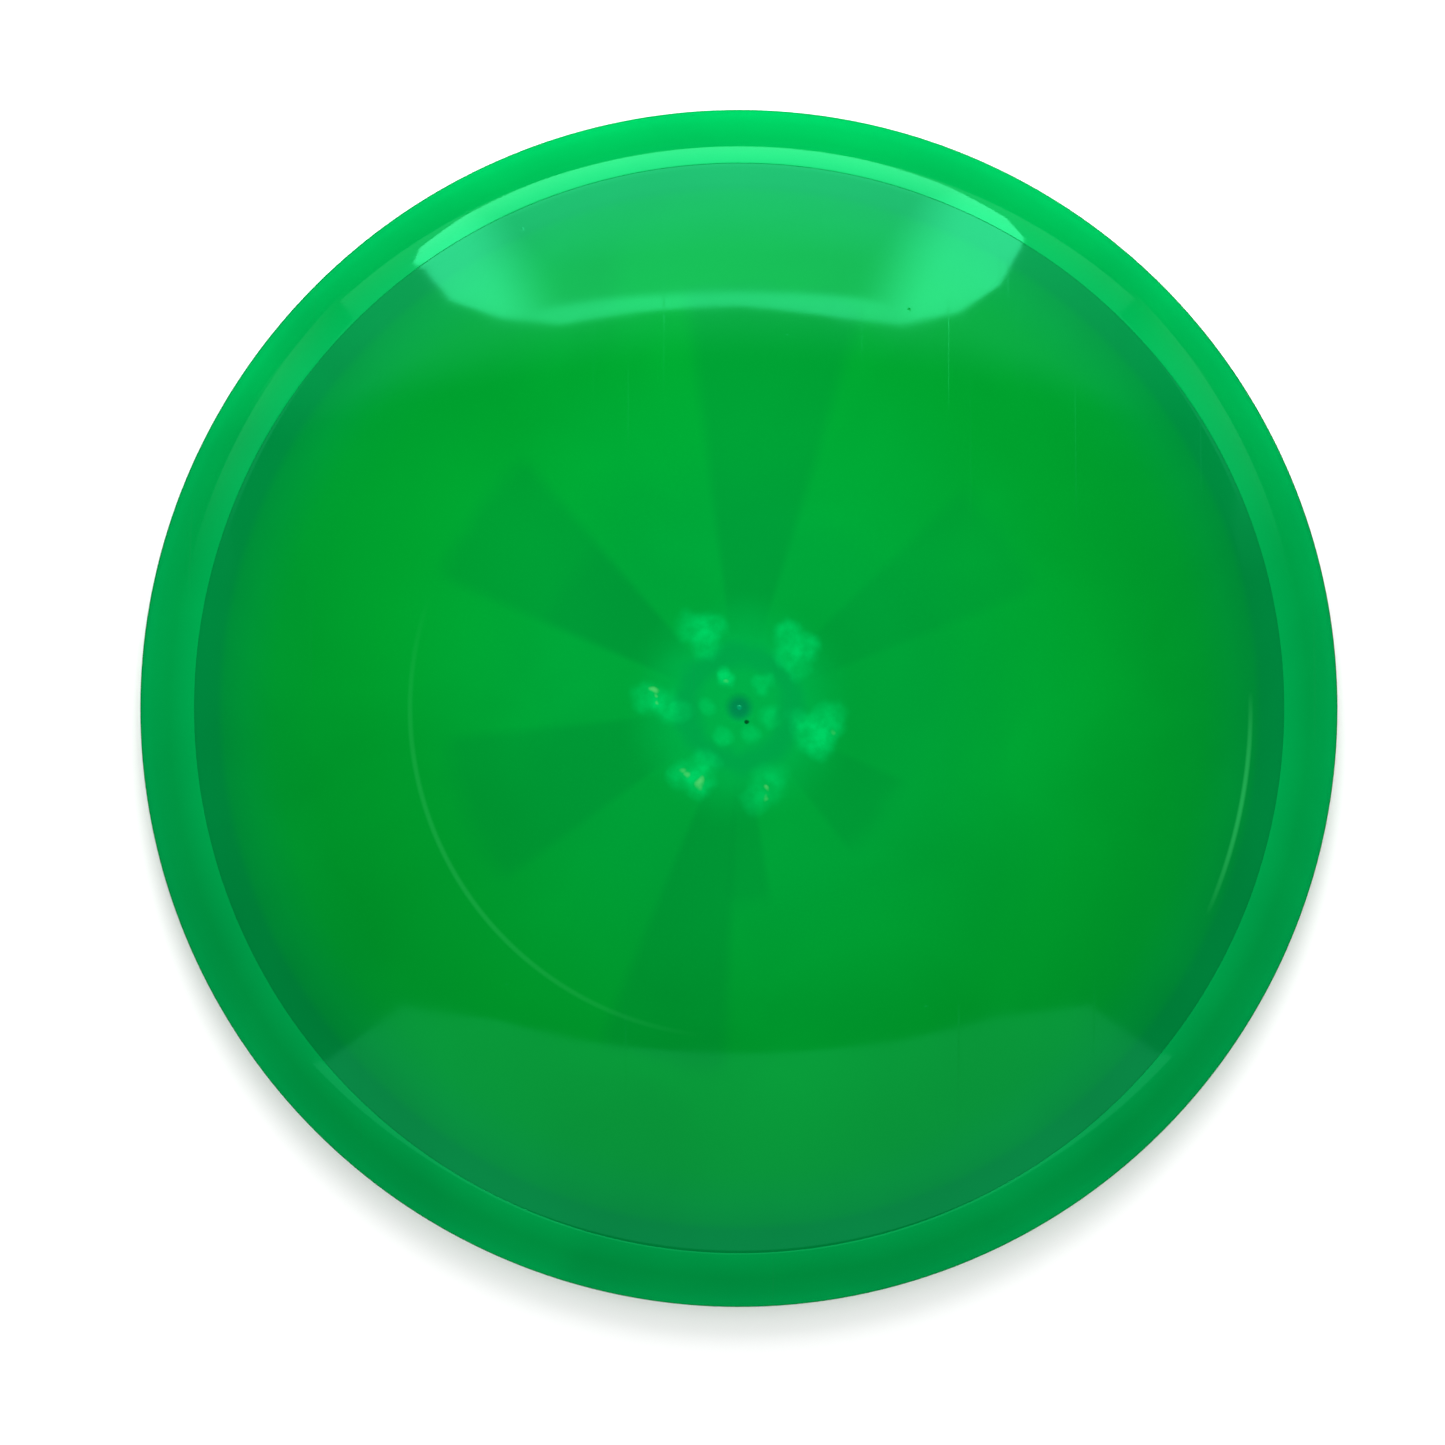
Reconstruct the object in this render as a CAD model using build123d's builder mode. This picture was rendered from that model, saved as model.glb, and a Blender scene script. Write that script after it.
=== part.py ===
from build123d import *
from math import radians, tan
import os

# A golf-style flying disc, moulded in two shots of see-through thermoplastic polyurethane.
# The first shot is the core: the domed flight plate, with the inner half of the rim under it.
# The second shot is the outer rim, which flows round the core's tongue and through its holes.
# Millimetres, +Z up. The disc lies as it rests, with its lip on Z = 0 and its axis on Z.

# The whole disc.
disc_radius = 106.0  # centre to nose
rim_width = 15.4  # inner rim wall to nose
rim_depth = 11.6  # lip to the underside of the plate, where the plate meets the rim
plate_thickness = 1.9
dome_rise = 2.6  # middle of the plate above its edge
dome_power = 3.5  # 2 is a plain parabola, and more keeps the middle flatter

# The rim's outline.
core_rim_width = 4.3  # inner rim wall to the seam between the two shots
shoulder_drop = 0.5  # fall of the top from the plate's edge to the seam
wing_drop = 2.6  # fall of the top from the seam to where it rolls over
wing_bulge = 0.36  # how far the wing's top swells above its chord
nose_length = 4.5  # radial length of the roll, from the wing to the nose
nose_height = 5.0  # nose above the lip
undercut_length = 2.0  # radial length of the roll under the nose
undercut_height = 2.6  # end of that roll above the lip

# The lip, and the inside of the rim.
lip_round = 0.9
lip_land = 2.2  # width of the flat ring that the disc rests on
wall_draft = 1.5  # degrees, so that the mould lets go of the rim
plate_fillet = 2.5  # between the rim wall and the plate

# The lock between the two shots.
tongue_reach = 4.2
tongue_thickness = 2.4
tongue_round = 0.6
key_count = 24
key_radius = 1.2

# What the mould leaves on the plate.
gate_radius = 2.75  # dimple opposite the gate
gate_depth = 0.2
pip_radius = 0.5  # point in the middle of the dimple
pip_height = 0.12
stub_radius = 2.0  # where the runner was cut off, on the underside
stub_height = 0.8
stub_round = 0.3
insert_radius = 57.0  # edge of the mould's middle insert, which leaves a fine raised line
insert_line_width = 0.6
insert_line_height = 0.12

# Places that follow from the sizes.
inner_radius = disc_radius - rim_width
seam_radius = inner_radius + core_rim_width
roll_radius = disc_radius - nose_length
undercut_radius = disc_radius - undercut_length
wall_foot_radius = inner_radius + rim_depth * tan(radians(wall_draft))
land_radius = wall_foot_radius + lip_round + lip_land
edge_height = rim_depth + plate_thickness
top_height = edge_height + dome_rise
ceiling_height = top_height - plate_thickness
seam_height = edge_height - shoulder_drop
roll_height = seam_height - wing_drop

# Under the wing the rim is a plain cone, from the lip's land to the roll under the nose.
cone_slope = undercut_height / (undercut_radius - land_radius)
seam_foot_height = cone_slope * (seam_radius - land_radius)

# The tongue lies midway between the wing's top and the cone, with its holes in its middle.
tongue_height = (roll_height + undercut_height) / 2
key_circle_radius = seam_radius + tongue_reach / 2


def dome_drop(radius):
    """Fall of the dome from its middle to a radius."""
    return dome_rise * (radius / inner_radius) ** dome_power


def dome_line(height):
    """The dome's curve, from the axis to the plate's edge, with its middle at a height."""
    steps = 6
    radii = [inner_radius * step / steps for step in range(steps + 1)]
    edge_slope = -dome_power * dome_rise / inner_radius
    points = [(radius, height - dome_drop(radius)) for radius in radii]
    return Spline(*points, tangents=((1, 0), (1, edge_slope)))


with BuildPart() as flight_plate_core:
    # The plate and the inner rim, turned as one section.
    with BuildSketch(Plane.XZ) as core_section:
        with BuildLine():
            top = dome_line(top_height)
            ceiling = dome_line(ceiling_height)
            Polyline(
                top @ 1,
                (seam_radius, seam_height),
                (seam_radius, seam_foot_height),
                (land_radius, 0),
                (wall_foot_radius, 0),
                ceiling @ 1,
            )
            Line(ceiling @ 0, top @ 0)
        make_face()
        fillet(core_section.vertices().sort_by_distance((wall_foot_radius, 0))[0], lip_round)
        fillet(core_section.vertices().sort_by_distance((inner_radius, rim_depth))[0], plate_fillet)
    revolve(axis=Axis.Z)

    # The tongue, a rounded flange round the seam. Its root is inside the rim, so the two join.
    tongue_root = 2 * tongue_round
    with BuildSketch(Plane.XZ):
        with Locations((seam_radius + (tongue_reach - tongue_root) / 2, tongue_height)):
            RectangleRounded(tongue_reach + tongue_root, tongue_thickness, tongue_round)
    revolve(axis=Axis.Z)

    # Keying holes through the tongue, for the second shot to flow through.
    with BuildSketch(Plane.XY.offset(tongue_height)):
        with PolarLocations(key_circle_radius, key_count):
            Circle(key_radius)
    extrude(amount=tongue_thickness, both=True, mode=Mode.SUBTRACT)

    # The insert line, a fine raised ring on the underside.
    with BuildSketch(Plane.XZ):
        with Locations((insert_radius, ceiling_height - dome_drop(insert_radius))):
            Rectangle(insert_line_width, 2 * insert_line_height)
    revolve(axis=Axis.Z)

    # The gate's stub under the middle of the plate, with a rounded end.
    with BuildSketch(Plane.XY.offset(ceiling_height + plate_thickness / 2)):
        Circle(stub_radius)
    extrude(amount=-plate_thickness / 2 - stub_height)
    fillet(flight_plate_core.edges(Select.LAST).sort_by(Axis.Z)[0], stub_round)

    # The dimple on top, a shallow cap of a ball, with its pip.
    ball_radius = (gate_radius**2 + gate_depth**2) / (2 * gate_depth)
    with Locations((0, 0, top_height - gate_depth + ball_radius)):
        Sphere(ball_radius, mode=Mode.SUBTRACT)
    with BuildSketch(Plane.XY.offset(top_height - gate_depth - pip_height)):
        Circle(pip_radius)
    extrude(amount=2 * pip_height)

with BuildPart() as outer_rim:
    # The wing and the nose, turned as one section.
    with BuildSketch(Plane.XZ):
        with BuildLine():
            wing = SagittaArc((seam_radius, seam_height), (roll_radius, roll_height), wing_bulge)
            wing_end = wing % 1
            nose = (disc_radius, nose_height)
            roll_corner_height = roll_height + nose_length * wing_end.Y / wing_end.X
            Bezier(wing @ 1, (disc_radius, roll_corner_height), nose)
            undercut_end = (undercut_radius, undercut_height)
            undercut_corner_height = undercut_height + cone_slope * undercut_length
            Bezier(nose, (disc_radius, undercut_corner_height), undercut_end)
            Polyline(undercut_end, (seam_radius, seam_foot_height), wing @ 0)
        make_face()
    revolve(axis=Axis.Z)

    # The core's tongue leaves its groove in the rim, and the rim fills the keying holes.
    add(flight_plate_core.part, mode=Mode.SUBTRACT)

flight_plate_core.part.label = "flight_plate_core"
outer_rim.part.label = "outer_rim"

os.makedirs("parts", exist_ok=True)
export_step(flight_plate_core.part, "parts/flight_plate_core.step")
export_step(outer_rim.part, "parts/outer_rim.step")
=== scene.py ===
# %% [markdown]
# # A golf disc in see-through plastic
#
# A golf disc is a flying disc with a sharp rim. This one is moulded in two shots of
# green thermoplastic polyurethane: first the core, which is the domed flight plate with the
# inner half of the rim, and then the outer rim, which is moulded round it.
# The lesson draws each shot's outline, turns it round the disc's axis, gives the plastic its
# depth and its flow marks, with painted shade and highlights among them, and lights it as in
# a white light tent.

# %% Load the imported model
from math import atan2, cos, hypot, pi, radians, sin, tan

import bpy
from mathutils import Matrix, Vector


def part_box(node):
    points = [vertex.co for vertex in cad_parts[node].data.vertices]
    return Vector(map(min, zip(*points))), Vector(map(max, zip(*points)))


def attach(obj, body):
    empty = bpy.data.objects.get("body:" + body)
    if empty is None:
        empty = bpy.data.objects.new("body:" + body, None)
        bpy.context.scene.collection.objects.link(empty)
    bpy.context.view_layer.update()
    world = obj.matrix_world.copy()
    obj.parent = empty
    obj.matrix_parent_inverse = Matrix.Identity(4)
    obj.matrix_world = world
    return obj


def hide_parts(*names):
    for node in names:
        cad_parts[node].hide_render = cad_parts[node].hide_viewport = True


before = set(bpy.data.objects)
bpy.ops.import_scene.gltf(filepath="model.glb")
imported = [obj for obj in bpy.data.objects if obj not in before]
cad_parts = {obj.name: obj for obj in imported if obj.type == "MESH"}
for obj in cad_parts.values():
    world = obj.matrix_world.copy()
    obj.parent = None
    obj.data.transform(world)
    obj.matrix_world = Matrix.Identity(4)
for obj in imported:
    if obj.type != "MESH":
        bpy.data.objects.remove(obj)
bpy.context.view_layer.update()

# %% [markdown]
# ## The disc's sizes
#
# The outer rim's box gives the disc's radius and the height of the seam between the shots,
# and the core's box gives the top of the dome. The other sizes are the ones that the mould
# is cut to. They could be read off the CAD mesh, but its triangles are too coarse for a
# glossy surface, so the outline is drawn again from its own sizes, and turned finely.

# %% Sizes of the mould, in metres
MM = 0.001
core_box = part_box("flight_plate_core")
rim_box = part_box("outer_rim")

disc_radius = rim_box[1].x
crown_height = core_box[1].z
tongue_tip = core_box[1].x
seam_height = rim_box[1].z

rim_width = 15.4 * MM
core_rim_width = 4.3 * MM
inner_radius = disc_radius - rim_width
seam_radius = inner_radius + core_rim_width
plate_thickness = 1.9 * MM
dome_rise = 2.6 * MM
dome_power = 3.5
rim_depth = crown_height - dome_rise - plate_thickness

wing_drop = 2.6 * MM
wing_bulge = 0.36 * MM
nose_length = 4.5 * MM
nose_height = 5.0 * MM
undercut_length = 2.0 * MM
undercut_height = 2.6 * MM
roll_radius = disc_radius - nose_length
roll_height = seam_height - wing_drop

wall_draft = radians(1.5)
lip_round = 0.9 * MM
lip_land = 2.2 * MM
wall_foot = inner_radius + rim_depth * tan(wall_draft)
land_radius = wall_foot + lip_round + lip_land
plate_fillet = 2.5 * MM
cone_slope = undercut_height / (disc_radius - undercut_length - land_radius)
print(f"disc {2000 * disc_radius:.1f} mm across and {1000 * crown_height:.1f} mm high")

# %% [markdown]
# ## Points of an outline
#
# Both outlines are drawn in the half plane to the right of the disc's axis, as pairs of
# a radius and a height. Long smooth stretches are worked out from a curve rather than
# placed one by one, because the eye finds every uneven step in a glossy highlight.

# %% Curves for the outlines
def between(start, end, steps):
    """Even points from start to end, without start."""
    shares = [step / steps for step in range(1, steps + 1)]
    return [(start[0] + t * (end[0] - start[0]), start[1] + t * (end[1] - start[1])) for t in shares]


def rounded(start, corner, end, steps):
    """A round that leaves start towards the corner and arrives at end, without start."""
    points = []
    for step in range(1, steps + 1):
        t = step / steps
        points.append(tuple((1 - t) ** 2 * a + 2 * t * (1 - t) * b + t * t * c
                            for a, b, c in zip(start, corner, end)))
    return points


def swollen(start, end, bulge, steps):
    """An arc from start to end that swells by bulge above its chord, without start."""
    width, fall = end[0] - start[0], end[1] - start[1]
    chord = hypot(width, fall)
    radius = (chord**2 / 4 + bulge**2) / (2 * bulge)
    up = (-fall / chord, width / chord)
    centre = [(start[i] + end[i]) / 2 - (radius - bulge) * up[i] for i in (0, 1)]
    first = atan2(start[1] - centre[1], start[0] - centre[0])
    last = atan2(end[1] - centre[1], end[0] - centre[0])
    turns = [first + step / steps * (last - first) for step in range(1, steps + 1)]
    return [(centre[0] + radius * cos(a), centre[1] + radius * sin(a)) for a in turns]


def dome_height(radius):
    """Height of the plate's top at a radius."""
    return crown_height - dome_rise * (radius / inner_radius) ** dome_power


# %% [markdown]
# ## The core's outline
#
# The core is one moulding: a domed plate, a thick inner rim with the lip that the disc
# rests on, and a tongue that the outer rim locks on to. The plate carries what the mould
# left on it: a shallow dimple opposite the gate, a stub where the runner was cut, and a
# fine raised ring where the mould's middle insert ends.

# %% The core's outline, from the middle of the top round to the middle of the underside
gate_radius = 2.75 * MM
gate_depth = 0.2 * MM
ball_radius = (gate_radius**2 + gate_depth**2) / (2 * gate_depth)
gate_floor = crown_height - gate_depth


def dimple_height(radius):
    """Height of the dimple's floor, a shallow cap of a ball."""
    return gate_floor + ball_radius - (ball_radius**2 - radius**2) ** 0.5


pip_radius = 0.5 * MM
pip_height = 0.12 * MM
pip_top = gate_floor + pip_height
pip_foot = (pip_radius, gate_floor + 0.02 * MM)
core_outline = [(0.0, pip_top)]
core_outline += rounded((0.0, pip_top), (pip_radius, pip_top), pip_foot, 6)

dimple_edge = gate_radius - 0.25 * MM
core_outline += [(r, dimple_height(r)) for r, _ in between((0.6 * MM, 0), (dimple_edge, 0), 8)]
dome_start = gate_radius + 0.2 * MM
dome_first = (dome_start, dome_height(dome_start))
core_outline += rounded(core_outline[-1], (gate_radius, crown_height), dome_first, 5)

DOME_STEPS = 64
core_outline += [(r, dome_height(r)) for r, _ in between((dome_start, 0), (inner_radius, 0), DOME_STEPS)]

# The shoulder is straight, and its edge at the seam is broken by a hair.
seam_break = 0.08 * MM
shoulder_end = (seam_radius - seam_break, seam_height + 0.1 * seam_break)
core_outline += between(core_outline[-1], shoulder_end, 6)
core_outline += rounded(shoulder_end, (seam_radius, seam_height), (seam_radius, seam_height - seam_break), 4)

# The tongue sticks out midway up the rim.
tongue_height = (roll_height + undercut_height) / 2
tongue_half = 1.2 * MM
tongue_round = 0.6 * MM


def tongue(lower_first):
    """The tongue's outline at the seam, with its tip's corners rounded."""
    up = -1 if lower_first else 1
    corners = [(tongue_tip, tongue_height + up * tongue_half), (tongue_tip, tongue_height - up * tongue_half)]
    points = [(seam_radius, corners[0][1]), (tongue_tip - tongue_round, corners[0][1])]
    points += rounded(points[-1], corners[0], (tongue_tip, corners[0][1] - up * tongue_round), 4)
    points += [(tongue_tip, corners[1][1] + up * tongue_round)]
    points += rounded(points[-1], corners[1], (tongue_tip - tongue_round, corners[1][1]), 4)
    return points + [(seam_radius, corners[1][1])]


core_outline += tongue(lower_first=False)

# Foot of the seam, the land that the disc rests on, and the round of the lip.
foot_height = cone_slope * (seam_radius - land_radius)
core_outline += [(seam_radius, foot_height + seam_break)]
foot_inside = (seam_radius - seam_break, foot_height - cone_slope * seam_break)
core_outline += rounded(core_outline[-1], (seam_radius, foot_height), foot_inside, 3)
core_outline += [(land_radius, 0.0), (wall_foot + lip_round, 0.0)]
wall_slope = (wall_foot - inner_radius) / rim_depth
lip_top = (wall_foot - wall_slope * lip_round, lip_round)
core_outline += rounded(core_outline[-1], (wall_foot, 0.0), lip_top, 8)

# The rim's inner wall, the fillet under the plate, and the plate's underside.
fillet_foot = (inner_radius + wall_slope * plate_fillet, rim_depth - plate_fillet)
core_outline += between(core_outline[-1], fillet_foot, 6)
ceiling_edge = inner_radius - plate_fillet
ceiling_start = (ceiling_edge, dome_height(ceiling_edge) - plate_thickness)
core_outline += rounded(fillet_foot, (inner_radius, rim_depth), ceiling_start, 12)

insert_radius = 57 * MM
line_half = 0.3 * MM
line_height = 0.12 * MM
outer_stretch = between((ceiling_edge, 0), (insert_radius + line_half, 0), 16)
core_outline += [(r, dome_height(r) - plate_thickness) for r, _ in outer_stretch]
for r in (insert_radius + 0.7 * line_half, insert_radius - 0.7 * line_half):
    core_outline.append((r, dome_height(r) - plate_thickness - line_height))

stub_radius = 2 * MM
stub_height = 0.8 * MM
stub_foot = crown_height - plate_thickness - stub_height
stub_round = 0.3 * MM
inner_stretch = between((insert_radius, 0), (stub_radius, 0), 24)
inner_stretch = [(insert_radius - line_half, 0)] + inner_stretch[1:]
core_outline += [(r, dome_height(r) - plate_thickness) for r, _ in inner_stretch]
core_outline += [(stub_radius, stub_foot + stub_round)]
core_outline += rounded(core_outline[-1], (stub_radius, stub_foot), (stub_radius - stub_round, stub_foot), 4)
core_outline += [(0.0, stub_foot)]
print(f"the core's outline has {len(core_outline)} points")

# %% [markdown]
# ## The outer rim's outline
#
# The wing falls gently from the seam and then rolls over into the nose. The nose is
# nearly round from above and from below, and a plain cone leads back in to the lip.
# Its inside is the seam, with a groove where the core's tongue is.

# %% The outer rim's outline, a closed loop that starts at the seam's top
wing_start = (seam_radius + seam_break, seam_height - 0.17 * seam_break)
wing_end = (roll_radius, roll_height)
rim_outline = [(seam_radius, seam_height - seam_break)]
rim_outline += rounded(rim_outline[0], (seam_radius, seam_height), wing_start, 4)
wing = swollen(wing_start, wing_end, wing_bulge, 18)
rim_outline += wing

wing_fall = (wing[-2][1] - wing[-1][1]) / (wing[-1][0] - wing[-2][0])
nose = (disc_radius, nose_height)
rim_outline += rounded(wing_end, (disc_radius, roll_height - nose_length * wing_fall), nose, 20)

undercut_end = (disc_radius - undercut_length, undercut_height)
undercut_corner = (disc_radius, undercut_height + cone_slope * undercut_length)
rim_outline += rounded(nose, undercut_corner, undercut_end, 12)

foot_outside = (seam_radius + seam_break, foot_height + cone_slope * seam_break)
rim_outline += between(undercut_end, foot_outside, 8)
rim_outline += rounded(foot_outside, (seam_radius, foot_height), (seam_radius, foot_height + seam_break), 3)
rim_outline += tongue(lower_first=True)
print(f"the outer rim's outline has {len(rim_outline)} points")

# %% [markdown]
# ## Turning the two shots
#
# A turned part could be a curve with a Screw modifier, or a stack of bridged circles. Here
# one vertex is extruded from point to point and then spun, as a potter's template is,
# because each shot's outline then stays one line that can be read and changed.
# A spin makes a second copy of the first line where it closes, so the doubles are merged
# before the normals are turned outwards.

# %% Draw an outline and spin it
SPIN_STEPS = 288
WELD = 0.001 * MM


def drawn(name, points):
    """A new piece in edit mode: one vertex extruded from point to point, all selected."""
    bpy.ops.object.select_all(action="DESELECT")
    bpy.ops.mesh.primitive_plane_add(size=MM)
    piece = bpy.context.object
    piece.name = piece.data.name = name
    bpy.ops.object.mode_set(mode="EDIT")
    bpy.ops.mesh.select_all(action="SELECT")
    bpy.ops.mesh.merge(type="CENTER")
    bpy.ops.transform.translate(value=points[0])
    for last, point in zip(points, points[1:]):
        bpy.ops.mesh.extrude_region_move(TRANSFORM_OT_translate={"value": Vector(point) - Vector(last)})
    bpy.ops.mesh.select_all(action="SELECT")
    return piece


def turned(name, outline, closed):
    """A new piece: the outline in the XZ plane, spun once round the disc's axis."""
    points = [(radius, 0, height) for radius, height in outline]
    piece = drawn(name, points + points[:1] if closed else points)
    bpy.ops.mesh.spin(steps=SPIN_STEPS, angle=2 * pi, center=(0, 0, 0), axis=(0, 0, 1))
    bpy.ops.mesh.select_all(action="SELECT")
    bpy.ops.mesh.remove_doubles(threshold=WELD)
    bpy.ops.mesh.normals_make_consistent(inside=False)
    bpy.ops.object.mode_set(mode="OBJECT")
    print(f"{name}: {len(piece.data.polygons)} faces")
    return piece


core = turned("core_shot", core_outline, closed=False)
rim = turned("rim_shot", rim_outline, closed=True)

# %% [markdown]
# ## Keying holes and posts
#
# The second shot flows through holes in the core's tongue and sets as posts, so that the
# rim can't peel off. One cylinder is copied round the disc. The copies are cut from the core's
# tongue with a Boolean modifier, and are joined to the outer rim with another. They reach a
# little past the tongue, into the rim's own plastic, so that no two faces lie in one plane.
# A Boolean can leave corners almost on top of each other, with slivers between them, so
# corners nearer than five thousandths of a millimetre are merged afterwards.
# The merge also reaches the smallest rings round the axis, whose corners are as close. Which
# of those it joins depends on the order that the Boolean leaves them in, so a few faces
# there differ from run to run. Merging only near the holes would be the cleaner way.

# %% Cut the holes and join the posts
KEY_COUNT = 24
PIN_SIDES = 24
key_radius = 1.2 * MM
pin_overlap = 0.6 * MM
SLIVER = 0.005 * MM
key_circle = (seam_radius + tongue_tip) / 2


def key_pins():
    """A ring of pins, one at each keying hole, as one object."""
    pins = []
    for number in range(KEY_COUNT):
        turn = 2 * pi * number / KEY_COUNT
        place = (key_circle * cos(turn), key_circle * sin(turn), tongue_height)
        if not pins:
            bpy.ops.mesh.primitive_cylinder_add(
                vertices=PIN_SIDES, radius=key_radius, depth=2 * tongue_half + pin_overlap,
                location=place)
            pins.append(bpy.context.object)
            continue
        pin = pins[0].copy()
        pin.data = pins[0].data.copy()
        pin.location = place
        bpy.context.collection.objects.link(pin)
        pins.append(pin)
    bpy.ops.object.select_all(action="DESELECT")
    for pin in pins:
        pin.select_set(True)
    bpy.context.view_layer.objects.active = pins[0]
    bpy.ops.object.join()
    return pins[0]


def only(piece):
    """Selects one piece and makes it the active one."""
    bpy.ops.object.select_all(action="DESELECT")
    piece.select_set(True)
    bpy.context.view_layer.objects.active = piece


for piece, operation in ((core, "DIFFERENCE"), (rim, "UNION")):
    pins = key_pins()
    only(piece)
    keys = piece.modifiers.new("keys", "BOOLEAN")
    keys.operation = operation
    keys.object = pins
    bpy.ops.object.modifier_apply(modifier=keys.name)
    bpy.data.objects.remove(pins)
    bpy.ops.object.mode_set(mode="EDIT")
    bpy.ops.mesh.select_all(action="SELECT")
    bpy.ops.mesh.remove_doubles(threshold=SLIVER)
    bpy.ops.mesh.dissolve_degenerate(threshold=SLIVER)
    bpy.ops.object.mode_set(mode="OBJECT")
    bpy.ops.object.shade_smooth_by_angle(angle=radians(30))
    print(f"{piece.name}: {len(piece.data.polygons)} faces with its keys")

# %% [markdown]
# ## A helper for nodes
#
# A finish is a small tree of nodes. One function adds a node, sets what it says and links
# what it is given, so that each line below reads as one step of the finish.

# %% Add a node with its settings and links
def hexed(code):
    """A colour for a node from an sRGB hex code."""
    channels = [int(code[i:i + 2], 16) / 255 for i in (0, 2, 4)]
    return [c / 12.92 if c <= 0.04045 else ((c + 0.055) / 1.055) ** 2.4 for c in channels] + [1.0]


def step(tree, kind, inputs=(), out=0, **settings):
    """Adds a node, and returns one of its outputs. Each input is a value or another node's output."""
    node = tree.nodes.new(kind)
    for name, value in settings.items():
        setattr(node, name, value)
    for key, value in dict(inputs).items():
        if isinstance(value, bpy.types.NodeSocket):
            tree.links.new(value, node.inputs[key])
        else:
            node.inputs[key].default_value = value
    return node.outputs[out]


# %% [markdown]
# ## Where a mark lies on the disc
#
# Everything that shows in the plastic follows the way it was moulded: the melt enters at
# the gate in the middle and runs outwards. So the finish is written in the disc's own
# terms, in millimetres from the axis and in degrees round it, both from Object
# coordinates. A slow waver bends each place by about a millimetre, because melt never
# stops on a straight line.

# %% Place, radius and direction on the disc
def disc_place(tree):
    """The place in millimetres, its radius, and the way it lies from the axis."""
    metres = step(tree, "ShaderNodeTexCoord", out=3)
    place = step(tree, "ShaderNodeVectorMath", {0: metres, 1: (1 / MM, 1 / MM, 0)}, operation="MULTIPLY")
    radius = step(tree, "ShaderNodeVectorMath", {0: place}, out=1, operation="LENGTH")
    way = step(tree, "ShaderNodeVectorMath", {0: place}, operation="NORMALIZE")
    return place, radius, way


def wavered(tree, place, scale, reach):
    """The same place, moved about by a noise of a scale per millimetre and a reach in millimetres."""
    noise = step(tree, "ShaderNodeTexNoise", {"Vector": place, "Scale": scale, "Detail": 2.0}, out=1)
    off = step(tree, "ShaderNodeVectorMath", {0: noise, 1: (0.5, 0.5, 0.5)}, operation="SUBTRACT")
    off = step(tree, "ShaderNodeVectorMath", {0: off, 1: (2 * reach, 2 * reach, 0)}, operation="MULTIPLY")
    return step(tree, "ShaderNodeVectorMath", {0: place, 1: off})


def pointing(degrees):
    """A direction on the disc as a vector."""
    return (cos(radians(degrees)), sin(radians(degrees)), 0.0)


# %% [markdown]
# ## Flow marks on the plate
#
# Round the gate the melt has left six small bright petals, a darker ring and six larger
# petals. Darker wedges run out between them, most of them as far as the insert ring, each
# with its own width and length. They could be geometry, but the real ones lie inside the
# plastic, so they belong in its colour. Each mark is one row of a table here. The glints on
# the petals are not marks in the plastic. They are painted highlights in the same colour.
# A colour doesn't shift as the view moves, so the marks keep still where real ones would
# seem to slide a little under the surface.

# %% Petals, wedges and rings
PETALS = (  # place in millimetres from the gate, size, share of the light green
    (-8.3, 14.2, 3.8, 0.50), (-4.8, 14.2, 3.4, 0.55), (-5.9, 10.9, 3.6, 0.50),  # upper left
    (8.4, 13.0, 3.0, 0.62), (11.6, 10.4, 3.3, 0.66), (8.2, 9.2, 3.2, 0.55), (10.2, 6.6, 2.6, 0.40),
    (15.4, -1.8, 4.2, 0.66), (12.4, -4.4, 4.2, 0.62), (10.4, -2.2, 3.0, 0.36), (14.4, -6.2, 3.4, 0.42),
    (4.8, -13.2, 4.4, 0.40), (2.6, -15.8, 3.0, 0.36), (7.0, -11.6, 3.0, 0.22),  # lower right
    (-6.0, -9.4, 3.2, 0.62), (-9.6, -11.6, 3.4, 0.60), (-6.8, -13.0, 3.4, 0.66),
    (-15.8, 1.9, 3.8, 0.52), (-12.8, 0.6, 3.8, 0.58), (-10.2, -0.6, 2.6, 0.36),  # left
    (-2.4, 5.0, 2.1, 0.85), (-3.0, 6.0, 1.8, 0.4), (4.0, 4.2, 2.4, 0.50), (5.5, -1.4, 2.6, 0.50),
    (2.0, -4.6, 2.3, 0.46), (-3.0, -4.6, 2.2, 0.56), (-5.6, 0.4, 2.1, 0.44),  # the small ones
)
# The glints are painted highlights in the base colour.
GLINTS = (  # the same for the spots where a petal mirrors the light
    (-14.7, 3.5, 0.8, 0.7), (-14.5, 2.5, 0.5, 0.5), (-14.2, 1.2, 0.5, 0.4), (-6.9, -13.3, 1.0, 0.7),
    (-6.4, -12.7, 0.8, 0.6), (-9.9, -11.2, 0.7, 0.4), (-9.3, -11.9, 0.7, 0.5), (4.7, -14.2, 0.7, 0.7),
    (4.4, -15.4, 0.5, 0.35), (-2.3, 4.3, 0.5, 0.25), (15.9, -3.8, 0.5, 0.25),
)
# A pit with no shape of its own, painted as a dark spot of shade: place and radius in millimetres.
PIT_SHADE = (1.7, -2.5, 0.42)
# Both lines are in the core's shape below the plate. Their colour here is a painted highlight on the side
# where each catches the light.
LINE_HIGHLIGHTS = (  # radius and width in millimetres, the side and spread in degrees, share of the line
    (insert_radius / MM, 0.6, 212, 52, 0.15), (88.9, 0.55, -11, 13, 0.35),
)
WEDGES = (  # middle and half width in degrees, radii where it begins and ends, share of the dark green
    (85, 12.0, 17, 74, 0.34), (143.5, 12.5, 17, 58, 0.30), (143.5, 12.0, 14, 38, 0.20),
    (201, 15.0, 17, 52, 0.28), (257.5, 10.0, 17, 64, 0.32), (273, 6.0, 15, 35, 0.28),
    (-38, 14.0, 17, 32, 0.24), (33, 11.0, 17, 56, 0.22),
)


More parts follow.
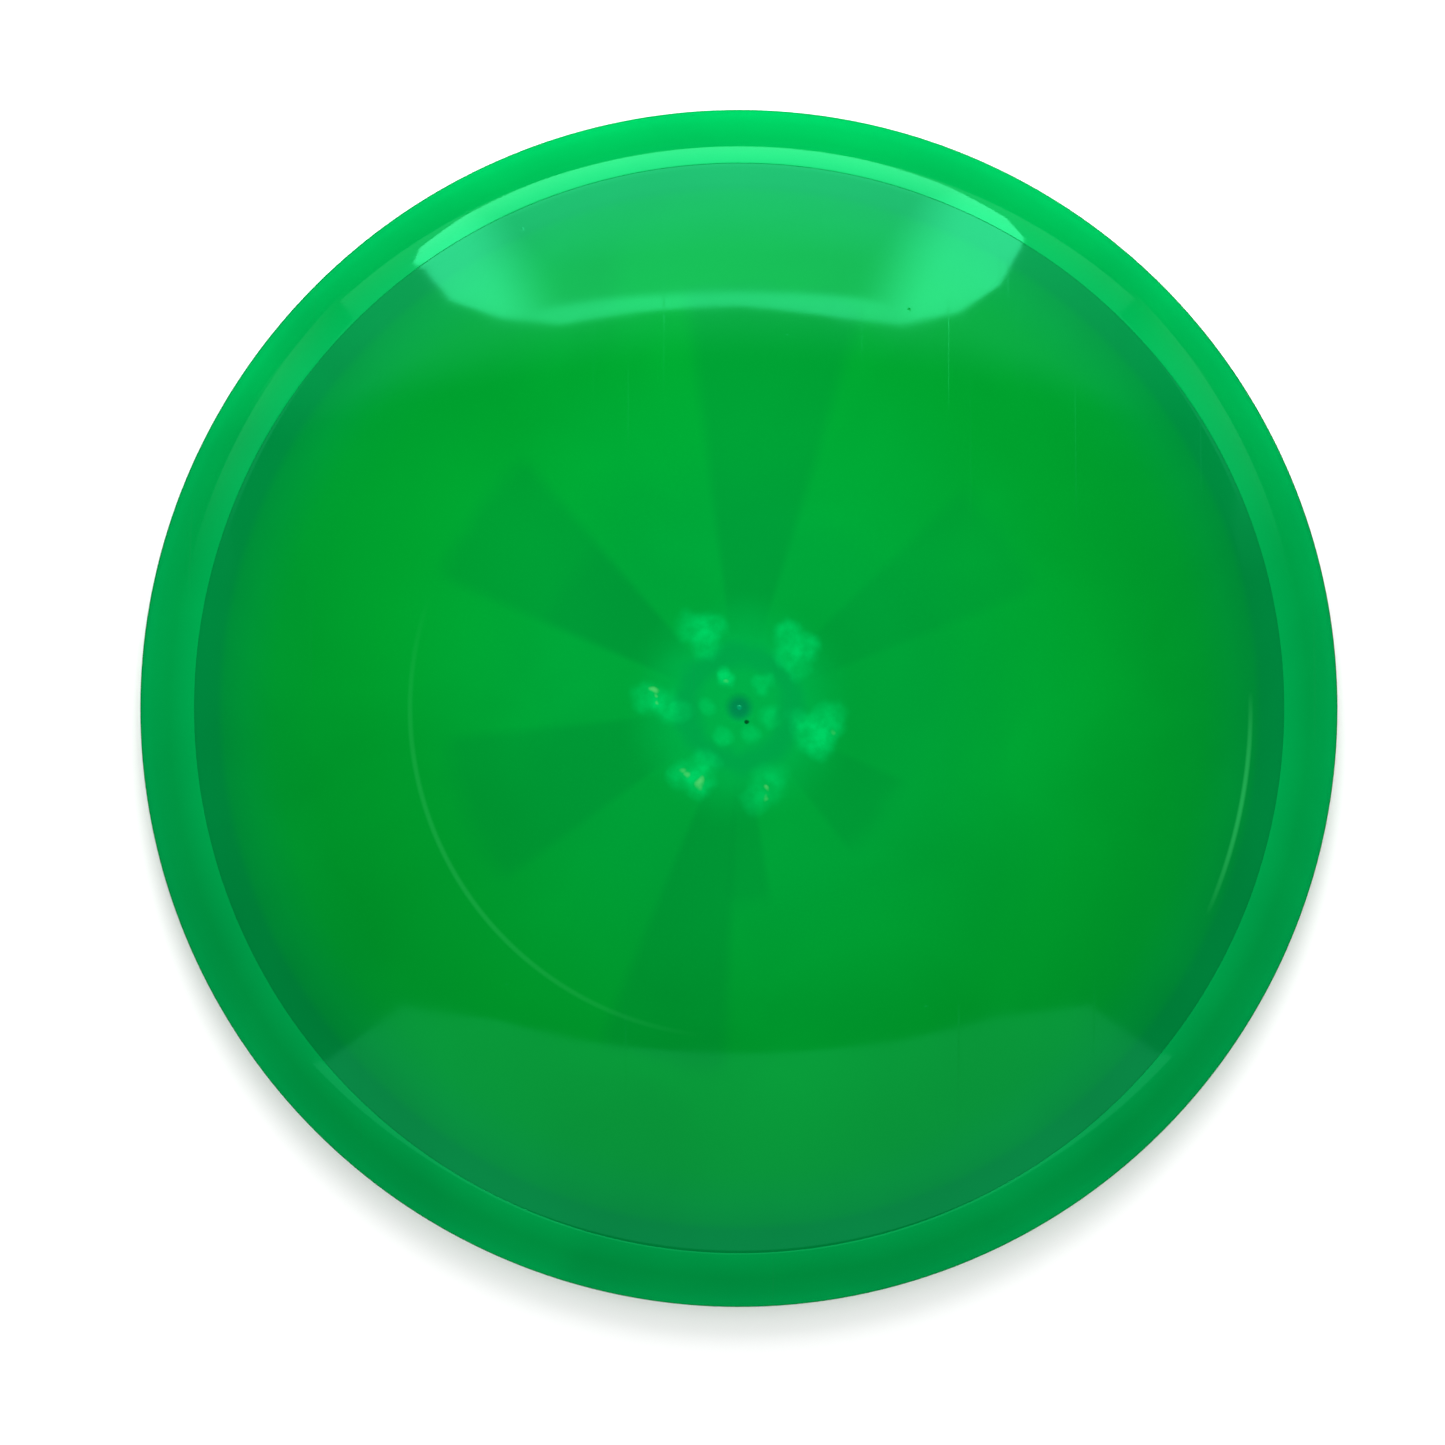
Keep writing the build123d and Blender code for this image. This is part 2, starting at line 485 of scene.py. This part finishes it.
WEDGE_GREEN, PALE_GREEN, RING_GREEN = "006A26", "00A850", "00743A"
PETAL_GREEN, GLINT_GREEN = "00AC50", "50B460"
DIMPLE_GREEN, PIP_GREEN, PIT_SHADE_GREEN, LINE_HIGHLIGHT_GREEN = "00673F", "008B5C", "002010", "30B460"
print(f"{len(PETALS)} petal blots, {len(GLINTS)} glints and {len(WEDGES)} wedges")

# %% [markdown]
# ## The wedges
#
# A wedge is a sector with soft sides, a slow start and a soft end. The side is found from
# the angle between two directions, which never jumps as an angle in degrees does at 180.

# %% Darker wedges
def wedges(tree, bent_radius, radius, way, colour):
    """Lays the darker wedges over a colour."""
    for middle, half, begin, end, share in WEDGES:
        side = step(tree, "ShaderNodeVectorMath", {0: way, 1: pointing(middle)}, out=1,
                    operation="DOT_PRODUCT")
        side = step(tree, "ShaderNodeMapRange",
                    {0: side, 1: cos(radians(half + 2)), 2: cos(radians(half - 2))},
                    interpolation_type="SMOOTHSTEP")
        start = step(tree, "ShaderNodeMapRange", {0: radius, 1: begin - 6, 2: begin + 4, 4: share})
        stop = step(tree, "ShaderNodeMapRange", {0: bent_radius, 1: end + 1.5, 2: end - 4},
                    interpolation_type="SMOOTHSTEP")
        wedge = step(tree, "ShaderNodeMath", {0: side, 1: start}, operation="MULTIPLY")
        wedge = step(tree, "ShaderNodeMath", {0: wedge, 1: stop}, operation="MULTIPLY")
        colour = step(tree, "ShaderNodeMix", {0: wedge, 6: colour, 7: hexed(WEDGE_GREEN)}, out=2,
                      data_type="RGBA")

    return colour


# %% [markdown]
# ## The petals
#
# Under the petals lie a paler patch all round the gate and a darker ring between their two
# rows. The petals run together where they are close, so their blots are added up before
# they are laid over the colour, and a fine mottle makes them uneven.

# %% Pale patch, dark ring and petals
def petals(tree, place, bent, bent_radius, colour):
    """Lays the pale patch, the dark ring, the petals and their glints, which are painted highlights, over a
    colour.
    """
    mottle = step(tree, "ShaderNodeTexNoise", {"Vector": place, "Scale": 0.55, "Detail": 4.0})
    mottle = step(tree, "ShaderNodeMapRange", {0: mottle, 1: 0.35, 2: 0.65, 3: 0.6, 4: 1.0})
    pale = step(tree, "ShaderNodeMapRange", {0: bent_radius, 1: 21.0, 2: 9.0, 4: 0.26},
                interpolation_type="SMOOTHSTEP")
    colour = step(tree, "ShaderNodeMix", {0: pale, 6: colour, 7: hexed(PALE_GREEN)}, out=2,
                  data_type="RGBA")
    ring = step(tree, "ShaderNodeMath", {0: bent_radius, 1: 9.2}, operation="SUBTRACT")
    ring = step(tree, "ShaderNodeMath", {0: ring}, operation="ABSOLUTE")
    ring = step(tree, "ShaderNodeMapRange", {0: ring, 1: 3.4, 2: 0.4, 4: 0.34},
                interpolation_type="SMOOTHSTEP")
    colour = step(tree, "ShaderNodeMix", {0: ring, 6: colour, 7: hexed(RING_GREEN)}, out=2,
                  data_type="RGBA")

    for blots, soft, code in ((PETALS, 0.3, PETAL_GREEN), (GLINTS, 0.1, GLINT_GREEN)):
        total = 0.0
        for x, y, size, share in blots:
            away = step(tree, "ShaderNodeVectorMath", {0: bent, 1: (x, y, 0)}, out=1,
                        operation="DISTANCE")
            blot = step(tree, "ShaderNodeMapRange", {0: away, 1: size, 2: soft * size, 4: share},
                        interpolation_type="SMOOTHSTEP")
            total = step(tree, "ShaderNodeMath", {0: total, 1: blot})
        total = step(tree, "ShaderNodeMath", {0: total, 1: mottle}, operation="MULTIPLY")
        colour = step(tree, "ShaderNodeMix", {0: total, 6: colour, 7: hexed(code)}, out=2,
                      data_type="RGBA")

    return colour


# %% [markdown]
# ## The dimple and the lines from below
#
# The dimple is coloured darker and bluer towards its middle. A pit at its edge has no shape
# of its own, and its dark spot is painted shade. Two lines of the underside show through the
# plate as painted highlights, each on the one side where it catches the light. The base colour
# carries them all, because this plastic's shader lets no light through.

# %% Dimple, the pit's painted shade and the lines' painted highlights
def dimple_marks(tree, bent, radius, colour):
    """Lays the dimple's colour, its pip and the painted shade of the pit over a colour."""
    dimple = step(tree, "ShaderNodeMapRange", {0: radius, 1: 2.9, 2: 0.9, 4: 0.8},
                  interpolation_type="SMOOTHSTEP")
    colour = step(tree, "ShaderNodeMix", {0: dimple, 6: colour, 7: hexed(DIMPLE_GREEN)}, out=2,
                  data_type="RGBA")
    pip = step(tree, "ShaderNodeMapRange", {0: radius, 1: 0.7, 2: 0.2, 4: 0.5})
    colour = step(tree, "ShaderNodeMix", {0: pip, 6: colour, 7: hexed(PIP_GREEN)}, out=2,
                  data_type="RGBA")
    # The pit's dark spot is painted shade.
    away = step(tree, "ShaderNodeVectorMath", {0: bent, 1: (*PIT_SHADE[:2], 0)}, out=1, operation="DISTANCE")
    pit = step(tree, "ShaderNodeMapRange", {0: away, 1: PIT_SHADE[2], 2: 0.6 * PIT_SHADE[2], 4: 0.85})
    colour = step(tree, "ShaderNodeMix", {0: pit, 6: colour, 7: hexed(PIT_SHADE_GREEN)}, out=2,
                  data_type="RGBA")

    return colour


def line_highlights_below(tree, radius, way, colour):
    """Lays the two lines of the underside over a colour, as painted highlights on one side each."""
    for line_radius, width, side, spread, share in LINE_HIGHLIGHTS:
        line = step(tree, "ShaderNodeMath", {0: radius, 1: line_radius}, operation="SUBTRACT")
        line = step(tree, "ShaderNodeMath", {0: line}, operation="ABSOLUTE")
        line = step(tree, "ShaderNodeMapRange", {0: line, 1: width, 2: 0.3 * width})
        lit_side = step(tree, "ShaderNodeVectorMath", {0: way, 1: pointing(side)}, out=1,
                     operation="DOT_PRODUCT")
        lit_side = step(tree, "ShaderNodeMapRange", {0: lit_side, 1: cos(radians(spread)), 2: 1.0, 4: share})
        line = step(tree, "ShaderNodeMath", {0: line, 1: lit_side}, operation="MULTIPLY")
        colour = step(tree, "ShaderNodeMix", {0: line, 6: colour, 7: hexed(LINE_HIGHLIGHT_GREEN)}, out=2,
                      data_type="RGBA")
    return colour


def marks_and_painted_light(tree, place, radius, way, colour):
    """Lays all the marks over the plate's colour, the painted highlights and the pit's painted shade among
    them. The wedges come first, under the petals' tips.
    """
    bent = wavered(tree, place, 0.22, 1.6)
    bent_radius = step(tree, "ShaderNodeVectorMath", {0: bent}, out=1, operation="LENGTH")
    colour = wedges(tree, bent_radius, radius, way, colour)
    colour = petals(tree, place, bent, bent_radius, colour)
    colour = dimple_marks(tree, bent, radius, colour)
    return line_highlights_below(tree, radius, way, colour)


# %% [markdown]
# ## The green polyurethane
#
# The real plastic is a clear thermoplastic polyurethane with a strong green dye, moulded
# against polished steel. It is smooth and glossy, and how green it looks depends on how
# much of it the light has crossed: the thin plate is a yellowish leaf green, and the deep
# rim a dark bluish one. A glass shader with an absorbing volume would give that by itself,
# but it is slow to clear of noise and leaves the colour to the light. So the depth is
# drawn into the base colour by radius. The gloss is tinted green. Real gloss has no
# colour of its own, and the tint stands in for light that enters and comes out again.
# The colours by radius were matched to the disc as it was lit, so they hold painted shade as  well as the
# depth. The darker band from 0.845 to 0.89 of the radius is partly the depth of the  rim and partly the
# painted shade of the rim's inner wall, seen through the plate.

# %% The finish that both shots share
def depth_and_shade_bands(tree, radius, colours):
    """Colours by the share of the disc's radius, from the middle outwards: the plastic's depth, with painted
    shade in it.
    """
    share = step(tree, "ShaderNodeMath", {0: radius, 1: disc_radius / MM}, operation="DIVIDE")
    ramp = step(tree, "ShaderNodeValToRGB", {0: share})
    marks = ramp.node.color_ramp.elements
    marks.remove(marks[0])
    for number, (place, code) in enumerate(colours):
        mark = marks.new(place) if number else marks[0]
        mark.position = place
        mark.color = hexed(code)
    return ramp


def polyurethane(name, colours, marked):
    """Dyed see-through polyurethane. marked adds what only the plate has."""
    material = bpy.data.materials.new(name)
    material.use_nodes = True
    tree = material.node_tree
    plastic = tree.nodes["Principled BSDF"]
    place, radius, way = disc_place(tree)
    colour = depth_and_shade_bands(tree, radius, colours)

    # Clouds in the dye, a few centimetres wide, lighten and darken it a little.
    cloud = step(tree, "ShaderNodeTexNoise",
                 {"Vector": place, "Scale": 0.028, "Detail": 3.0, "Roughness": 0.45, "Distortion": 0.6})
    shade = step(tree, "ShaderNodeMapRange", {0: cloud, 1: 0.3, 2: 0.7, 3: 0.93, 4: 1.06})
    colour = step(tree, "ShaderNodeMix", {0: 1.0, 6: colour, 7: shade}, out=2,
                  data_type="RGBA", blend_type="MULTIPLY")
    if marked:
        colour = marks_and_painted_light(tree, place, radius, way, colour)
    tree.links.new(colour, plastic.inputs["Base Color"])

    # Handling leaves fine scratches in the gloss, and a few pits. A Mapping node scales before
    # it turns, so its turn only picks another part of the noise here, and every scratch runs
    # front to back. Real scratches lie all ways, which would take a turn before the scaling.
    haze = step(tree, "ShaderNodeTexNoise", {"Vector": place, "Scale": 0.05, "Detail": 4.0})
    dull = step(tree, "ShaderNodeMapRange", {0: haze, 1: 0.3, 2: 0.7, 3: 0.03, 4: 0.06})
    ripple = step(tree, "ShaderNodeTexNoise", {"Vector": place, "Scale": 0.12, "Detail": 1.0})
    height = step(tree, "ShaderNodeMath", {0: ripple, 1: 0.15}, operation="MULTIPLY")
    for turn, across in ((0.5, 1.5), (-1.1, 1.2)):
        streak = step(tree, "ShaderNodeMapping", {0: place, 2: (0, 0, turn), 3: (across, 0.012, 1)})
        streak = step(tree, "ShaderNodeTexNoise", {"Vector": streak, "Scale": 1.0, "Detail": 1.0})
        streak = step(tree, "ShaderNodeMapRange", {0: streak, 1: 0.72, 2: 0.8})
        height = step(tree, "ShaderNodeMath", {0: streak, 1: -0.3, 2: height}, operation="MULTIPLY_ADD")
        dull = step(tree, "ShaderNodeMath", {0: streak, 1: 0.15, 2: dull}, operation="MULTIPLY_ADD")
    pit = step(tree, "ShaderNodeTexVoronoi", {"Vector": place, "Scale": 0.09})
    pit = step(tree, "ShaderNodeMapRange", {0: pit, 1: 0.02, 2: 0.035, 3: -1.0, 4: 0.0})
    height = step(tree, "ShaderNodeMath", {0: height, 1: pit})
    tree.links.new(dull, plastic.inputs["Roughness"])
    skin = step(tree, "ShaderNodeBump", {"Height": height, "Strength": 0.5, "Distance": 0.02 * MM})
    tree.links.new(skin, plastic.inputs["Normal"])

    plastic.inputs["IOR"].default_value = 1.5
    plastic.inputs["Specular Tint"].default_value = hexed("4AFFBC")
    return material


# The darker stops from 0.845 to 0.89 are partly painted shade of the rim's inner wall.
core_plastic = polyurethane("green_core_plastic", (
    (0.0, "00842D"), (0.3, "00842B"), (0.45, "008427"), (0.6, "008022"), (0.7, "007C21"),
    (0.76, "007A23"), (0.81, "007729"), (0.845, "00722B"), (0.857, "006D2F"), (0.89, "006E31"),
), marked=True)
rim_plastic = polyurethane("bluish_rim_plastic", (
    (0.895, "008A3F"), (0.94, "00863A"), (0.97, "008C3F"), (1.0, "009A4A"),
), marked=False)

for piece, plastic, node, slot_name in (
    (core, core_plastic, "flight_plate_core", "core_polyurethane"),
    (rim, rim_plastic, "outer_rim", "rim_polyurethane"),
):
    piece.data.materials.clear()
    piece.data.materials.append(plastic)
    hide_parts(node)
    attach(piece, "root")

# %% [markdown]
# ## The light tent
#
# The disc lies on white card in a small tent. Glowing cards stand round it, and they are
# there for the gloss to mirror and for nothing else: they light nothing and cast no shadow.
# The disc is lit by the sky and two lamps, which show in no reflection. So the shape of a
# highlight can be changed without changing how bright the plastic is.

# %% The floor and two helpers for the cards
FLOOR_SIZE = 6.0
bpy.ops.object.select_all(action="DESELECT")
bpy.ops.mesh.primitive_plane_add(size=FLOOR_SIZE)
floor = bpy.context.object
floor.name = "floor"
paper = bpy.data.materials.new("white_card")
paper.use_nodes = True
paper.node_tree.nodes["Principled BSDF"].inputs["Base Color"].default_value = hexed("F8F8F8")
paper.node_tree.nodes["Principled BSDF"].inputs["Roughness"].default_value = 0.9
floor.data.materials.append(paper)
floor.visible_glossy = False


def glowing(name):
    """An empty material that only gives light, and its strength socket."""
    material = bpy.data.materials.new(name)
    material.use_nodes = True
    tree = material.node_tree
    tree.nodes.clear()
    light = step(tree, "ShaderNodeEmission")
    out = tree.nodes.new("ShaderNodeOutputMaterial")
    tree.links.new(light, out.inputs[0])
    return material, tree, light.node.inputs["Strength"]


def card(name, corners, material):
    """A glowing card through its corners, which shows only where something mirrors it."""
    piece = drawn(name, corners)
    bpy.ops.mesh.edge_face_add()
    bpy.ops.object.mode_set(mode="OBJECT")
    piece.data.materials.append(material)
    piece.visible_camera = False
    piece.visible_diffuse = False
    piece.visible_shadow = False


WALL = 0.3
print(f"floor {FLOOR_SIZE:.0f} m wide, cards {1000 * WALL:.0f} mm from the axis")

# %% [markdown]
# ## The light behind
#
# The long highlight at the far side is the mirror image of this tall light, which is
# brighter at its border. Its foot is well above the floor, because a low view would mirror
# a lower one as a wide white band. A faint glow on the wall round it fades outwards.

# %% Tall light with a bright border, and the wall round it
LIGHT_MIDDLE = 0.016  # how far the light stands left of the axis
BACK_LIGHT = (  # its corners, across and up
    (-0.215, 0.34), (-0.205, 0.23), (-0.165, 0.18), (-0.115, 0.165), (0.0, 0.165), (0.070, 0.165),
    (0.120, 0.18), (0.165, 0.23), (0.183, 0.34), (0.187, 0.694), (0.170, 0.814), (0.130, 0.905),
    (0.082, 0.903), (0.005, 0.871), (-0.068, 0.878), (-0.132, 0.894), (-0.176, 0.824), (-0.205, 0.723),
)
back_glow, tree, strength = glowing("back_glow")
x = step(tree, "ShaderNodeSeparateXYZ", {0: step(tree, "ShaderNodeTexCoord", out=3)})
z = x.node.outputs[2]
off = step(tree, "ShaderNodeMath", {0: x, 1: LIGHT_MIDDLE})
off = step(tree, "ShaderNodeMath", {0: off}, operation="ABSOLUTE")
sides = step(tree, "ShaderNodeMapRange", {0: off, 1: 0.10, 2: 0.16}, interpolation_type="SMOOTHSTEP")
foot = step(tree, "ShaderNodeMapRange", {0: z, 1: 0.68, 2: 0.2, 4: 0.7})
head = step(tree, "ShaderNodeMapRange", {0: z, 1: 0.80, 2: 0.83, 4: 0.7})
border = step(tree, "ShaderNodeMath", {0: sides, 1: foot}, operation="MAXIMUM")
border = step(tree, "ShaderNodeMath", {0: border, 1: head}, operation="MAXIMUM")
border = step(tree, "ShaderNodeMath", {0: border, 1: 6.6, 2: 3.2}, operation="MULTIPLY_ADD")
tree.links.new(border, strength)
card("back_light", [(x, WALL, z) for x, z in BACK_LIGHT], back_glow)

wall_glow, tree, strength = glowing("wall_glow")
x = step(tree, "ShaderNodeSeparateXYZ", {0: step(tree, "ShaderNodeTexCoord", out=3)})
z = x.node.outputs[2]
off = step(tree, "ShaderNodeMath", {0: x, 1: LIGHT_MIDDLE})
off = step(tree, "ShaderNodeMath", {0: off}, operation="ABSOLUTE")
off = step(tree, "ShaderNodeMath", {0: off, 1: 0.17}, operation="SUBTRACT")
above = step(tree, "ShaderNodeMath", {0: z, 1: 0.85}, operation="SUBTRACT")
off = step(tree, "ShaderNodeMath", {0: off, 1: above}, operation="MAXIMUM")
off = step(tree, "ShaderNodeMapRange", {0: off, 1: 0.35, 2: 0.0, 4: 1.4}, interpolation_type="SMOOTHSTEP")
tree.links.new(off, strength)
card("back_wall", [(-0.5, WALL + 0.01, 0.17), (0.5, WALL + 0.01, 0.17),
                   (0.5, WALL + 0.01, 1.3), (-0.5, WALL + 0.01, 1.3)], wall_glow)

# %% [markdown]
# ## Cards at the sides and in front
#
# Two small cards show as pale patches on the rim at its left and right. The front one is dim, and
# its wavy upper edge draws the curved line across the near part of the plate.

# %% Side cards and front card
side_glow, tree, strength = glowing("side_glow")
y = step(tree, "ShaderNodeSeparateXYZ", {0: step(tree, "ShaderNodeTexCoord", out=3)}, out=1)
off = step(tree, "ShaderNodeMath", {0: y, 1: 0.20}, operation="SUBTRACT")
off = step(tree, "ShaderNodeMath", {0: off}, operation="ABSOLUTE")
off = step(tree, "ShaderNodeMapRange", {0: off, 1: 0.14, 2: 0.02, 4: 1.0}, interpolation_type="SMOOTHSTEP")
tree.links.new(off, strength)
for side in (-WALL, WALL):
    card("side_card", [(side, 0.05, 0.13), (side, 0.35, 0.13), (side, 0.35, 0.5), (side, 0.05, 0.5)],
         side_glow)

front_glow, tree, strength = glowing("front_glow")
strength.default_value = 1.0
card("front_card", [(-0.36, -WALL, 0.4), (0.38, -WALL, 0.4), (0.37, -WALL, 1.205), (0.27, -WALL, 1.27),
                    (0.15, -WALL, 1.225), (0.01, -WALL, 1.215), (-0.12, -WALL, 1.225),
                    (-0.23, -WALL, 1.27), (-0.34, -WALL, 1.225)], front_glow)

# %% [markdown]
# ## Lamps and sky
#
# An even white sky gives most of the light. The lamp behind stands close, so that its light
# falls off across the disc and leaves the far side brighter than the near one.

# %% Two lamps and an even sky
for name, place, tilt, size, watts in (
    ("lamp_behind", (0, 0.24, 0.20), -50, 0.25, 1.15),
    ("lamp_in_front", (0, -0.45, 0.16), 70, 0.4, 0.1),
):
    bpy.ops.object.light_add(type="AREA", location=place, rotation=(radians(tilt), 0, 0))
    lamp = bpy.context.object
    lamp.name = name
    lamp.data.size = size
    lamp.data.energy = watts
    lamp.visible_camera = False
    lamp.visible_glossy = False
    print(f"{name}: {watts} W")

scene = bpy.context.scene
scene.view_settings.view_transform = "Standard"
sky = bpy.data.worlds.new("soft_sky")
scene.world = sky
sky.use_nodes = True
sky.node_tree.nodes["Background"].inputs["Color"].default_value = hexed("FFFFFF")
sky.node_tree.nodes["Background"].inputs["Strength"].default_value = 1.0
sky.cycles_visibility.glossy = False

# %% [markdown]
# ## The camera
#
# It looks straight down from about half a metre above the disc. The lens is worked out from how
# much of the frame's width the disc fills.

# %% A camera straight above
CAMERA_HEIGHT = 0.466
CAMERA_PLACE = (-2.9 * MM, -2.5 * MM, CAMERA_HEIGHT)
FILLED = 0.828
VIEW_WIDTH = 2 * disc_radius / FILLED
SENSOR_WIDTH = 36.0
bpy.ops.object.camera_add(location=CAMERA_PLACE, rotation=(0, 0, 0))
camera = bpy.context.object
camera.data.sensor_width = SENSOR_WIDTH
camera.data.lens = SENSOR_WIDTH * (CAMERA_HEIGHT - nose_height) / VIEW_WIDTH
camera.data.clip_start = 0.01
scene.camera = camera
print(f"camera {1000 * CAMERA_HEIGHT:.0f} mm up with a {camera.data.lens:.0f} mm lens")
